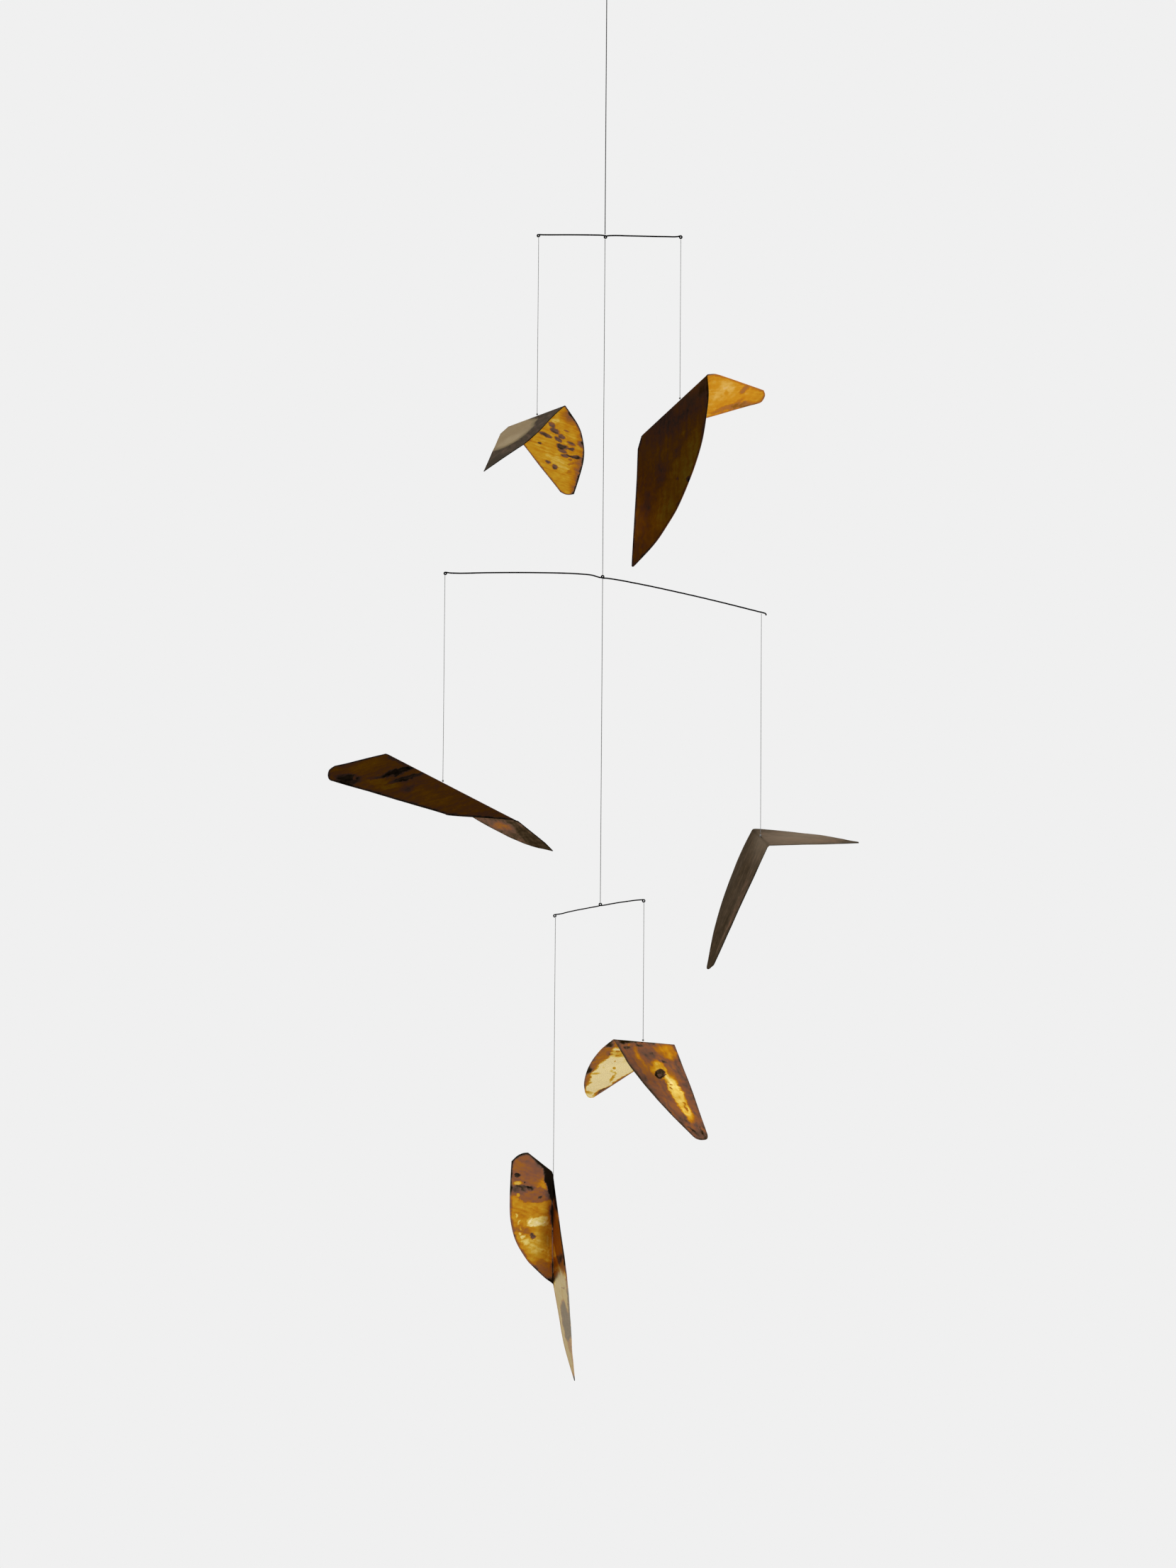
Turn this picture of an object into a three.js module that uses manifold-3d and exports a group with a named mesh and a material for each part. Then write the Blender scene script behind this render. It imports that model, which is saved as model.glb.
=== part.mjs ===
// Hanging mobile: three bent steel wire arms one below the other on a plumb line,
// with a folded, flame-coloured brass leaf on a thread at each wire end.
// Millimetres, +Z up. The origin is the middle of the ceiling face of the cap,
// +X runs along the arms to the right and +Y goes to the back.

import * as THREE from 'three';
import Module from 'manifold-3d';
import { mergeVertices } from 'three/addons/utils/BufferGeometryUtils.js';

// ---- driving dimensions -------------------------------------------------------

const GAP = 0.3;

const CAP_DIAMETER = 38;
const CAP_RIM_HEIGHT = 4;
const CAP_HEIGHT = 13;
const CAP_NOSE_DIAMETER = 7;

const LINE_DIAMETER = 0.9;
const THREAD_DIAMETER = 0.5;

const EYE_RADIUS = 1.1;
const EYE_WIRE = 1.2;

const SHEET = 0.7;
const CURVE_STEPS = 3;

// A leaf is one sheet with two wings and a straight fold between them. `fold` is the
// length of the fold and `before` how much of it lies ahead of the point the thread
// holds. `heading` and `slope` are the compass and climb of the fold in degrees. A wing
// turns down by `droop` degrees from level, on the right of the fold. Its outline is a
// chain of runs from one end of the fold to the other, in mm along the fold and away
// from it: two points make a straight edge, more points a fair curve.
const LEAF_TOP_LEFT = {
  name: 'top_left', heading: -51, slope: 6, fold: 88, before: 44.5,
  wings: [
    {
      droop: 35.5,
      runs: [
        [[0, 0], [3.5, 17]], [[3.5, 17], [96.5, 135]], [[96.5, 135], [111, 88.5]],
        [[111, 88.5], [106, 58.5], [97, 34], [90, 12.5], [88, 0]],
      ],
    },
    {
      droop: 152.7,
      runs: [
        [[0, 0], [-40, 104]], [[-40, 104], [-38, 109], [-34, 111.5], [-28, 112.5]],
        [[-28, 112.5], [1, 94.5], [31, 74.5], [53, 55.5], [72, 32.5], [88, 0]],
      ],
    },
  ],
};

const LEAF_TOP_RIGHT = {
  name: 'top_right', heading: -18.6, slope: 40.4, fold: 86.5, before: 50.5,
  wings: [
    {
      droop: 69.9,
      runs: [
        [[0, 0], [-11.5, 9.5]], [[-11.5, 9.5], [-84, 110]], [[-84, 110], [-83, 111.5], [-79, 111.5]],
        [[-79, 111.5], [-55.5, 109], [-38.5, 104.5], [-16.5, 96], [5.5, 83.5], [23.5, 71.5],
          [43.5, 55.5], [60.5, 37.5], [76, 19], [86.5, 0]],
      ],
    },
    {
      droop: 161.9,
      runs: [
        [[0, 0], [91, 86]], [[91, 86], [96, 91], [101, 93.5], [107.5, 89.5], [110.5, 82]],
        [[110.5, 82], [94, 14.5]], [[94, 14.5], [91.5, 7.5], [86.5, 0]],
      ],
    },
  ],
};

const LEAF_MIDDLE_LEFT = {
  name: 'middle_left', heading: -46.2, slope: -21, fold: 203.5, before: 89,
  wings: [
    {
      droop: 52.7,
      runs: [
        [[0, 0], [-46, 36.5]], [[-46, 36.5], [-48, 42.5], [-44.5, 48], [-38.5, 51.5], [-32.5, 51]],
        [[-32.5, 51], [121.5, 27.5]], [[121.5, 27.5], [127, 26.5], [153, 17], [191, 3.5], [203.5, 0]],
      ],
    },
    {
      droop: 136.9,
      runs: [
        [[0, 0], [38, 20], [75.5, 31.5], [112.5, 38], [158.5, 39.5], [183, 37.5], [211.5, 32.5], [242.5, 22.5]],
        [[242.5, 22.5], [235, 15]], [[235, 15], [203.5, 0]],
      ],
    },
  ],
};

const LEAF_MIDDLE_RIGHT = {
  name: 'middle_right', heading: -82.2, slope: -12.7, fold: 89, before: 43,
  wings: [
    {
      droop: 69.9,
      runs: [
        [[0, 0], [-11, 33], [-8, 67], [10, 99.5], [43, 135.5]],
        [[43, 135.5], [47.5, 137], [54, 135.5], [64.5, 129]], [[64.5, 129], [85, 3]], [[85, 3], [89, 0]],
      ],
    },
    {
      droop: -170.1,
      runs: [
        [[0, 0], [4, 6.5], [51, 35], [89, 54.5], [140.5, 76]], [[140.5, 76], [144.5, 75.5]],
        [[144.5, 75.5], [89, 0]],
      ],
    },
  ],
};

const LEAF_BOTTOM_LEFT = {
  name: 'bottom_left', heading: 89.7, slope: -42.1, fold: 169, before: 84.5,
  wings: [
    {
      droop: 152.8,
      runs: [
        [[0, 0], [-40, 24.5]], [[-40, 24.5], [-42, 30], [-41, 36], [-36.5, 41.5]],
        [[-36.5, 41.5], [-3, 43.5], [18, 44.5], [42, 44.5], [59.5, 43], [76, 40.5], [93.5, 36],
          [116.5, 28], [129.5, 22], [155, 9], [169, 0]],
      ],
    },
    {
      droop: 62,
      runs: [
        [[0, 0], [37.5, 8]], [[37.5, 8], [100, 23.5], [137, 30], [185.5, 35], [226.5, 39.5], [273, 44]],
        [[273, 44], [243, 24], [211, 13]], [[211, 13], [169, 0]],
      ],
    },
  ],
};

const LEAF_BOTTOM_RIGHT = {
  name: 'bottom_right', heading: 26.7, slope: -4.2, fold: 65.5, before: 31.5,
  wings: [
    {
      droop: 36,
      runs: [
        [[0, 0], [1, 23.5], [3, 48], [13.5, 101.5], [28.5, 147.5]],
        [[28.5, 147.5], [30.5, 150.5], [34.5, 152], [40, 151], [43, 148.5], [45, 143]],
        [[45, 143], [55, 80], [65.5, 0]],
      ],
    },
    {
      droop: 157.7,
      runs: [
        [[0, 0], [0, 26.5], [5, 57], [12.5, 84], [23, 110.5], [34.5, 131.5]],
        [[34.5, 131.5], [42.5, 142.5], [47.5, 146], [50.5, 144.5]], [[50.5, 144.5], [65.5, 0]],
      ],
    },
  ],
};

// Each tier turns about the plumb line, `drop` mm below the tier above. `line` is the
// stretch of plumb line over it. Stations of the wire and centres of the eyes bent into
// it are [along X, up] from the tier's own pivot, and so is the `eye` each leaf hangs
// from; `thread` is the height its thread starts at and `reach` the drop to the fold.
const TIERS = [
  {
    name: 'top', drop: 256.4, wire: 1.4, line: [243.1, 1],
    stations: [[-65.2, -0.2], [-34, 0.3], [-9, 0.2], [0, 0], [24, -0.4], [72.6, -0.9]],
    eyes: [[-64.7, -0.8], [0.4, -1.7], [73.6, -1]],
    leaves: [
      { leaf: LEAF_TOP_LEFT, x: -64.5, thread: -3, reach: -177.5 },
      { leaf: LEAF_TOP_RIGHT, x: 73.6, thread: -3.2, reach: -160.8 },
    ],
  },
  {
    name: 'middle', drop: 334.2, wire: 1.4, line: [330.4, 2.5],
    stations: [
      [-151.4, 2.6], [-112, 3.6], [-82, 4], [-61, 4], [-38, 3.7], [-20, 2.9], [-10, 2.1], [-4, 0.6],
      [4, -0.6], [31, -5.4], [72, -13.8], [114, -23.3], [155.4, -33.4], [157.4, -34.2], [158, -35.8],
    ],
    eyes: [[-151.8, 3], [0, 0.5]],
    leaves: [
      { leaf: LEAF_MIDDLE_LEFT, x: -152.2, thread: 0.9, reach: -199.6 },
      { leaf: LEAF_MIDDLE_RIGHT, x: 153.4, thread: -34.1, reach: -250 },
    ],
  },
  {
    name: 'bottom', drop: 316.5, wire: 1.2, line: [314.9, 2.9],
    stations: [[-43, -9.7], [-28, -6.1], [-6, -1.5], [10, 1.3], [26, 3.9], [40.6, 5.4]],
    eyes: [[-43.6, -10.3], [0, 0.9], [41.6, 4.7]],
    leaves: [
      { leaf: LEAF_BOTTOM_LEFT, x: -43, thread: -12.4, reach: -308.7 },
      { leaf: LEAF_BOTTOM_RIGHT, x: 41.8, thread: 2.6, reach: -130.4 },
    ],
  },
];

const FINISH = {
  cap: { color: '#8c8a86', metalness: 0.9, roughness: 0.4 },
  line: { color: '#8d8d8b', metalness: 0.5, roughness: 0.6 },
  thread: { color: '#a9a9a6', metalness: 0, roughness: 0.7 },
  wire: { color: '#17171a', metalness: 0.8, roughness: 0.5 },
  top_left: { color: '#a5782c', metalness: 1, roughness: 0.35 },
  top_right: { color: '#5a3a17', metalness: 1, roughness: 0.35 },
  middle_left: { color: '#54371a', metalness: 1, roughness: 0.4 },
  middle_right: { color: '#54443a', metalness: 1, roughness: 0.4 },
  bottom_left: { color: '#b57d1e', metalness: 1, roughness: 0.3 },
  bottom_right: { color: '#9c6a3c', metalness: 1, roughness: 0.35 },
};

// ---- solids -------------------------------------------------------------------

const wasm = await Module();
wasm.setup();

function toManifold(geometry) {
  const bare = geometry.clone();
  bare.deleteAttribute('normal');
  bare.deleteAttribute('uv');
  const welded = mergeVertices(bare, 1e-4);
  return new wasm.Manifold(new wasm.Mesh({
    numProp: 3,
    vertProperties: new Float32Array(welded.attributes.position.array),
    triVerts: new Uint32Array(welded.index.array),
  }));
}

function toGeometry(manifold) {
  const mesh = manifold.getMesh();
  const geometry = new THREE.BufferGeometry();
  geometry.setAttribute('position', new THREE.BufferAttribute(mesh.vertProperties, 3));
  geometry.setIndex(new THREE.BufferAttribute(mesh.triVerts, 1));
  return geometry;
}

function octagon(diameter) {
  const corners = [];
  for (let i = 0; i < 8; i += 1) {
    const turn = ((i + 0.5) * Math.PI) / 4;
    corners.push(new THREE.Vector2(Math.cos(turn), Math.sin(turn)).multiplyScalar(diameter / 2));
  }
  return new THREE.Shape(corners);
}

function tautCord(diameter, top, bottom) {
  const cord = new THREE.ExtrudeGeometry(octagon(diameter), { depth: top - bottom, bevelEnabled: false });
  return cord.translate(0, 0, bottom);
}

function ceilingCap() {
  const nose = CAP_NOSE_DIAMETER / 2;
  const rim = CAP_DIAMETER / 2;
  const profile = [
    [0, -CAP_HEIGHT], [nose, -CAP_HEIGHT], [nose + 1, 1 - CAP_HEIGHT],
    [rim - 1.5, -CAP_RIM_HEIGHT], [rim, 1.5 - CAP_RIM_HEIGHT], [rim, 0], [0, 0],
  ];
  const turned = new THREE.LatheGeometry(profile.map(([r, z]) => new THREE.Vector2(r, z)), 36);
  return toGeometry(toManifold(turned.rotateX(Math.PI / 2)));
}

function wireArm({ wire, stations, eyes }) {
  const along = stations.map(([x, z]) => new THREE.Vector3(x, 0, z));
  const path = new THREE.CatmullRomCurve3(along, false, 'centripetal');
  const bar = new THREE.ExtrudeGeometry(octagon(wire), { steps: 72, bevelEnabled: false, extrudePath: path });
  const rings = eyes.map(([x, z]) => {
    const ring = new THREE.TorusGeometry(EYE_RADIUS, EYE_WIRE / 2, 8, 14);
    return toManifold(ring.rotateX(Math.PI / 2).translate(x, 0, z));
  });
  return toGeometry(wasm.Manifold.union([toManifold(bar), ...rings]));
}

// ---- folded leaves ------------------------------------------------------------

// The fold lies along X with its hanging point at the origin, and level right is -Y.

function outline(runs) {
  const points = [new THREE.Vector2(0, 0)];
  for (const run of runs) {
    const stations = run.map(([u, v]) => new THREE.Vector2(u, v));
    const steps = stations.length === 2 ? 1 : CURVE_STEPS * (stations.length - 1);
    points.push(...new THREE.SplineCurve(stations).getPoints(steps).slice(1));
  }
  return points;
}

function wingDirection(droop) {
  const turn = THREE.MathUtils.degToRad(droop);
  return new THREE.Vector3(0, -Math.cos(turn), -Math.sin(turn));
}

function outwardNormal(away, otherWing) {
  const normal = new THREE.Vector3(1, 0, 0).cross(away);
  return normal.dot(otherWing) > 0 ? normal.negate() : normal;
}

// Triangles over a flat outline, all wound the way the outline runs.
function fill(flat) {
  const faces = THREE.ShapeUtils.triangulateShape(flat, []);
  const area = faces.reduce((sum, face) => sum + THREE.ShapeUtils.area(face.map((k) => flat[k])), 0);
  const alike = area * THREE.ShapeUtils.area(flat) > 0;
  return alike ? faces : faces.map(([a, b, c]) => [a, c, b]);
}

// One wing's skin: both faces and the rim, open along the fold where its twin joins.
function wingSkin(flat, before, away, normal, mitre) {
  const last = flat.length - 1;
  const half = normal.clone().multiplyScalar(SHEET / 2);
  const lift = (k) => (k === 0 || k === last ? mitre : half);
  const middle = flat.map(({ x, y }) => new THREE.Vector3(x - before, 0, 0).addScaledVector(away, y));
  const outer = middle.map((p, k) => p.clone().add(lift(k)));
  const inner = middle.map((p, k) => p.clone().sub(lift(k)));

  const skin = [];
  for (const [a, b, c] of fill(flat)) {
    skin.push([outer[a], outer[b], outer[c]]);
    skin.push([inner[a], inner[c], inner[b]]);
  }
  for (let k = 0; k < last; k += 1) {
    skin.push([outer[k + 1], outer[k], inner[k]]);
    skin.push([outer[k + 1], inner[k], inner[k + 1]]);
  }
  const faceUp = new THREE.Vector3(1, 0, 0).cross(away).dot(normal);
  const forward = THREE.ShapeUtils.area(flat) * faceUp > 0;
  return forward ? skin : skin.map(([a, b, c]) => [a, c, b]);
}

function foldedLeaf({ before, wings }) {
  const aways = wings.map((wing) => wingDirection(wing.droop));
  const normals = [outwardNormal(aways[0], aways[1]), outwardNormal(aways[1], aways[0])];
  const mitre = normals[0].clone().add(normals[1]);
  mitre.multiplyScalar(SHEET / 2 / (1 + normals[0].dot(normals[1])));
  const skins = wings.map((wing, i) => wingSkin(outline(wing.runs), before, aways[i], normals[i], mitre));
  return toGeometry(toManifold(new THREE.BufferGeometry().setFromPoints(skins.flat(2))));
}

// ---- the mobile ---------------------------------------------------------------

function piece(name, geometry, finish) {
  geometry.computeVertexNormals();
  const mesh = new THREE.Mesh(geometry, new THREE.MeshStandardMaterial(finish));
  mesh.name = name;
  return mesh;
}

function hangingLeaf({ leaf, x, thread, reach }) {
  const drop = new THREE.Group();
  drop.position.set(x, 0, reach);
  const ridge = SHEET + GAP + THREAD_DIAMETER / 2;
  const cord = tautCord(THREAD_DIAMETER, thread - reach, ridge);
  const sheet = piece(`leaf_${leaf.name}`, foldedLeaf(leaf), FINISH[leaf.name]);
  const heading = THREE.MathUtils.degToRad(leaf.heading);
  const slope = THREE.MathUtils.degToRad(leaf.slope);
  sheet.rotation.set(0, -slope, heading, 'ZYX');
  drop.add(piece(`thread_${leaf.name}`, cord, FINISH.thread), sheet);
  return drop;
}

const mobile = new THREE.Group();
mobile.name = 'hanging_mobile';
mobile.add(piece('ceiling_cap', ceilingCap(), FINISH.cap));

let above = mobile;
for (const tier of TIERS) {
  const cord = piece(`line_${tier.name}`, tautCord(LINE_DIAMETER, ...tier.line), FINISH.line);
  cord.position.z = -tier.drop;
  const swivel = new THREE.Group();
  swivel.position.z = -tier.drop;
  swivel.add(piece(`arm_${tier.name}`, wireArm(tier), FINISH.wire), ...tier.leaves.map(hangingLeaf));
  above.add(cord, swivel);
  above = swivel;
}

export default mobile;
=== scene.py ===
# %% [markdown]
# A hanging mobile: three bent wire arms one below the other on a plumb line, and from each wire
# end a folded brass leaf on a thread. The imported model gives every piece its size and place.
# This lesson models each piece afresh around it, so it is loaded first.

# %% Load the frame
import math

import bpy
from mathutils import Matrix, Vector


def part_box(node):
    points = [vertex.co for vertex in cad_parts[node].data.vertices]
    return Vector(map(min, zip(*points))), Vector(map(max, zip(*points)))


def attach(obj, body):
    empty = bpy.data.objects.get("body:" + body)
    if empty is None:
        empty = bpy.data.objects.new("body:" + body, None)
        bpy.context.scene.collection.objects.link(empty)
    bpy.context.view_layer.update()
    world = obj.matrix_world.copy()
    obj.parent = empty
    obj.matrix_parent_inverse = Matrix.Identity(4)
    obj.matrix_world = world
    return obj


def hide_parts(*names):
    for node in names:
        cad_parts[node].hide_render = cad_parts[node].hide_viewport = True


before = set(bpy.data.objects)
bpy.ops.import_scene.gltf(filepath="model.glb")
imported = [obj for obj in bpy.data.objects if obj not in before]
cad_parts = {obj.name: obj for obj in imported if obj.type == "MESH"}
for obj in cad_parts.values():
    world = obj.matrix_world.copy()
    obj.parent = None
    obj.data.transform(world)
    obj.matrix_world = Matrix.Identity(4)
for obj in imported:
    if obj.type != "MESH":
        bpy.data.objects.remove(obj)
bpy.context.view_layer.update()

MM = 0.001
TIERS = ("top", "middle", "bottom")
SIDES = ("left", "right")

# %% [markdown]
# The mobile is seen from straight in front and a little below its middle, from far
# enough away that the lines stay almost parallel. The lens is long for that reason.
# The viewer's head is tipped by less than half a degree, which a matrix says exactly.

# %% Place the camera
VIEWER = Vector((-12.66, -3400, -1016.5)) * MM
PITCH = math.radians(3.8)
ROLL = math.radians(0.42)
LENS = 81.37

bpy.ops.object.camera_add()
camera = bpy.context.object
camera.name = "viewer"
camera.data.lens = LENS
camera.data.sensor_width = 36
camera.data.clip_end = 50
camera.matrix_world = (
    Matrix.Translation(VIEWER)
    @ Matrix.Rotation(math.radians(90) + PITCH, 4, "X")
    @ Matrix.Rotation(ROLL, 4, "Z")
)
bpy.context.scene.camera = camera
print("camera at", [round(v, 3) for v in camera.location])

# %% [markdown]
# Colours are written as sRGB hex, the way paint charts give them, and one function
# turns them into the linear light that shaders work in. A second function adds one
# node to a material with its settings and links, so that each material below reads
# from top to bottom like a recipe.

# %% Colour and node helpers
def linear(code):
    """Linear RGBA for an sRGB hex colour such as '#D9A441'."""
    channels = [int(code[k : k + 2], 16) / 255 for k in (1, 3, 5)]
    return [c / 12.92 if c <= 0.04045 else ((c + 0.055) / 1.055) ** 2.4 for c in channels] + [1]


def add(tree, kind, inputs=None, **settings):
    """One new node, its settings made, its inputs set to a value or joined to a socket."""
    made = tree.nodes.new(kind)
    for name, value in settings.items():
        setattr(made, name, value)
    for key, value in (inputs or {}).items():
        if isinstance(value, bpy.types.NodeSocket):
            tree.links.new(value, made.inputs[key])
        else:
            made.inputs[key].default_value = value
    return made


def new_material(name):
    """An empty material and its Principled shader, already joined to the output."""
    material = bpy.data.materials.new(name)
    material.use_nodes = True
    tree = material.node_tree
    tree.nodes.clear()
    shader = add(tree, "ShaderNodeBsdfPrincipled")
    add(tree, "ShaderNodeOutputMaterial", {"Surface": shader.outputs["BSDF"]})
    return material, tree, shader


def finish_piece(piece, name, material, body, node):
    """Names a piece, dresses it, and ties it to the body and the solid it stands for."""
    piece.name = name
    piece.data.name = name
    piece.data.materials.clear()
    piece.data.materials.append(material)
    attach(piece, body)
    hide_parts(node)
    return piece

# %% [markdown]
# The plumb line is fine braided steel, grey and dull; each leaf hangs on clear nylon
# monofilament, which reads as a pale grey hair. Under a millimetre across, neither
# shows its make-up, so the braid and the nylon's slight waviness are drawn coarser
# than life: bands every 2 mm that only change the tone a little.

# %% Line and thread materials
def cord_material(name, dark, light, metallic, roughness):
    material, tree, shader = new_material(name)
    place = add(tree, "ShaderNodeTexCoord").outputs["Object"]
    bands = add(tree, "ShaderNodeTexWave", {"Vector": place, "Scale": 80, "Distortion": 2.0,
                                            "Detail": 2.0, "Detail Scale": 3.0},
                bands_direction="Z")
    tone = add(tree, "ShaderNodeMix", {0: bands.outputs["Fac"], 6: linear(dark), 7: linear(light)},
               data_type="RGBA")
    tree.links.new(tone.outputs[2], shader.inputs["Base Color"])
    shader.inputs["Metallic"].default_value = metallic
    shader.inputs["Roughness"].default_value = roughness
    return material


braided_steel = cord_material("braided_steel_line", "#4E4E4C", "#6C6C6A", 0.2, 0.6)
fine_braid = cord_material("fine_braided_steel_line", "#7E7E7C", "#A0A09E", 0.2, 0.6)
nylon = cord_material("clear_nylon_thread", "#9C9C9A", "#B4B4B2", 0.0, 0.45)

# %% [markdown]
# A cord under load is straight, so each one is a Bezier curve of two points given a round section.
# Its ends come from the solid it stands for. A line moves with the cap or arm above it, a thread
# with its leaf.

# %% String the plumb lines and threads
def string_cord(name, node, body, material, diameter):
    low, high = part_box(node)
    x = (low.x + high.x) / 2
    bpy.ops.object.select_all(action="DESELECT")
    bpy.ops.curve.primitive_bezier_curve_add()
    cord = bpy.context.object
    cord.data.dimensions = "3D"
    for point, z in zip(cord.data.splines[0].bezier_points, (high.z, low.z)):
        point.handle_left_type = point.handle_right_type = "VECTOR"
        point.co = (x, 0, z)
    cord.data.bevel_depth = diameter / 2
    cord.data.bevel_resolution = 3
    cord.data.use_fill_caps = True
    finish_piece(cord, name, material, body, node)
    print(name, "hangs", round((high.z - low.z) / MM, 1), "mm")
    return cord


# The top line carries everything, so it is stouter than the two below it.
LINES = (("top", "ceiling", braided_steel, 0.9), ("middle", "arm_top", fine_braid, 0.6),
         ("bottom", "arm_middle", fine_braid, 0.6))
THREAD_DIAMETER = 0.5 * MM
for tier, body, braid, diameter in LINES:
    string_cord(f"plumb_line_{tier}", f"line_{tier}", body, braid, diameter * MM)
for tier in TIERS:
    for side in SIDES:
        leaf = f"{tier}_{side}"
        string_cord(f"hanging_thread_{leaf}", f"thread_{leaf}", f"leaf_{leaf}", nylon,
                    THREAD_DIAMETER)

# %% [markdown]
# The mobile hangs in a plain pale studio. The floor is a round pale board well below
# it. The air around it is brightest low down and behind, like a white sweep, and
# dimmer overhead and on the viewer's side, because polished brass shows what it
# faces: that is what makes one wing of a leaf glow while the next is nearly black.

# %% Floor
FLOOR_Z = -2.5
bpy.ops.object.select_all(action="DESELECT")
bpy.ops.mesh.primitive_cylinder_add(vertices=96, radius=2.4, depth=0.02,
                                    location=(0, 0, FLOOR_Z - 0.01))
floor = bpy.context.object
floor.name = "studio_floor"
pale_board, tree, shader = new_material("pale_board")
grain = add(tree, "ShaderNodeTexNoise", {"Scale": 3.0, "Detail": 4.0})
tone = add(tree, "ShaderNodeMix", {0: grain.outputs["Fac"], 6: linear("#ECECEC"),
                                   7: linear("#F1F1F1")}, data_type="RGBA")
tree.links.new(tone.outputs[2], shader.inputs["Base Color"])
shader.inputs["Roughness"].default_value = 0.9
shader.inputs["Emission Color"].default_value = linear("#F0F0F0")
shader.inputs["Emission Strength"].default_value = 0.5
floor.data.materials.append(pale_board)

# %% Sky of the studio
studio = bpy.data.worlds.new("studio")
bpy.context.scene.world = studio
studio.use_nodes = True
tree = studio.node_tree
tree.nodes.clear()
way = add(tree, "ShaderNodeTexCoord").outputs["Generated"]
away = add(tree, "ShaderNodeSeparateXYZ", {0: way})
behind = add(tree, "ShaderNodeMath", {0: away.outputs["Y"], 1: 0.75, 2: 0.35},
             operation="MULTIPLY_ADD")
below = add(tree, "ShaderNodeMath", {0: away.outputs["Z"], 1: -0.55, 2: behind.outputs[0]},
            operation="MULTIPLY_ADD")
glow = add(tree, "ShaderNodeMapRange", {"Value": below.outputs[0], "To Min": 0.10, "To Max": 0.90},
           interpolation_type="SMOOTHSTEP")
sweep = add(tree, "ShaderNodeBackground", {"Color": linear("#FFFFFF"),
                                           "Strength": glow.outputs["Result"]})
paper = add(tree, "ShaderNodeBackground", {"Color": linear("#F0F0F0"), "Strength": 1.0})
seen = add(tree, "ShaderNodeLightPath").outputs["Is Camera Ray"]
both = add(tree, "ShaderNodeMixShader", {0: seen, 1: sweep.outputs[0], 2: paper.outputs[0]})
add(tree, "ShaderNodeOutputWorld", {"Surface": both.outputs[0]})

# %% Soft lights
def softbox(name, place, aim, size, power):
    bpy.ops.object.light_add(type="AREA", location=place)
    lamp = bpy.context.object
    lamp.name = name
    lamp.data.shape = "DISK"
    lamp.data.size = size
    lamp.data.energy = power
    lamp.rotation_euler = (Vector(aim) - Vector(place)).to_track_quat("-Z", "Y").to_euler()
    return lamp


softbox("softbox_high_right", (0.9, 1.3, 0.6), (0, 0, -1.0), 1.3, 6)
fill_lamp = softbox("softbox_front_left", (-2.0, -2.4, 0.4), (0, 0, -0.8), 1.6, 18)
fill_lamp.visible_glossy = False
floor_lamp = softbox("softbox_floor", (0, 0.2, 1.6), (0, 0.2, FLOOR_Z), 2.4, 70)
floor_lamp.visible_glossy = False
bpy.context.scene.view_settings.view_transform = "Standard"

# %% [markdown]
# At the top the line hangs from a small turned steel cup. It starts as a short
# cylinder; its lower face is drawn down and in, step by step, to the nose the line
# leaves from, and the sharp edges are then broken with a bevel. The steel is brushed
# on a lathe, so its fine marks run round it.

# %% Turned steel material
turned_steel, tree, shader = new_material("turned_steel")
place = add(tree, "ShaderNodeTexCoord").outputs["Object"]
marks = add(tree, "ShaderNodeTexWave", {"Vector": place, "Scale": 400, "Distortion": 1.5,
                                        "Detail": 3.0}, wave_type="RINGS", rings_direction="Z")
tone = add(tree, "ShaderNodeMix", {0: marks.outputs["Fac"], 6: linear("#8F8D89"),
                                   7: linear("#B3B1AC")}, data_type="RGBA")
rough = add(tree, "ShaderNodeMapRange", {"Value": marks.outputs["Fac"], "To Min": 0.28,
                                         "To Max": 0.42})
groove = add(tree, "ShaderNodeBump", {"Height": marks.outputs["Fac"], "Strength": 0.15,
                                      "Distance": 0.1 * MM})
tree.links.new(tone.outputs[2], shader.inputs["Base Color"])
tree.links.new(rough.outputs["Result"], shader.inputs["Roughness"])
tree.links.new(groove.outputs[0], shader.inputs["Normal"])
shader.inputs["Metallic"].default_value = 1.0

# %% Turn the ceiling cup
CUP_STEPS = ((17.5, -4.0), (11.5, -6.4), (7.2, -9.2), (4.5, -12.0), (3.5, -13.0))
cup_low, cup_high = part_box("ceiling_cap")
rim_radius = (cup_high.x - cup_low.x) / 2
rim_height = 2.5 * MM
bpy.ops.object.select_all(action="DESELECT")
bpy.ops.mesh.primitive_cylinder_add(vertices=64, radius=rim_radius, depth=rim_height,
                                    location=(0, 0, -rim_height / 2))
cup = bpy.context.object
bpy.ops.object.transform_apply()
bpy.ops.object.mode_set(mode="EDIT")
bpy.ops.mesh.select_mode(type="FACE")
bpy.ops.mesh.select_all(action="DESELECT")
bpy.ops.object.mode_set(mode="OBJECT")
for face in cup.data.polygons:
    face.select = face.normal.z < -0.9
bpy.ops.object.mode_set(mode="EDIT")
radius, height = rim_radius, -rim_height
for next_radius, next_height in CUP_STEPS:
    bpy.ops.mesh.extrude_region_move()
    bpy.ops.transform.translate(value=(0, 0, next_height * MM - height))
    shrink = next_radius * MM / radius
    bpy.ops.transform.resize(value=(shrink, shrink, 1), center_override=(0, 0, 0))
    radius, height = next_radius * MM, next_height * MM
bpy.ops.object.mode_set(mode="OBJECT")
edge_break = cup.modifiers.new("edge_break", "BEVEL")
edge_break.width = 0.4 * MM
edge_break.segments = 3
edge_break.angle_limit = math.radians(35)
bpy.ops.object.modifier_apply(modifier="edge_break")
bpy.ops.object.shade_smooth_by_angle(angle=math.radians(30))
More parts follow.
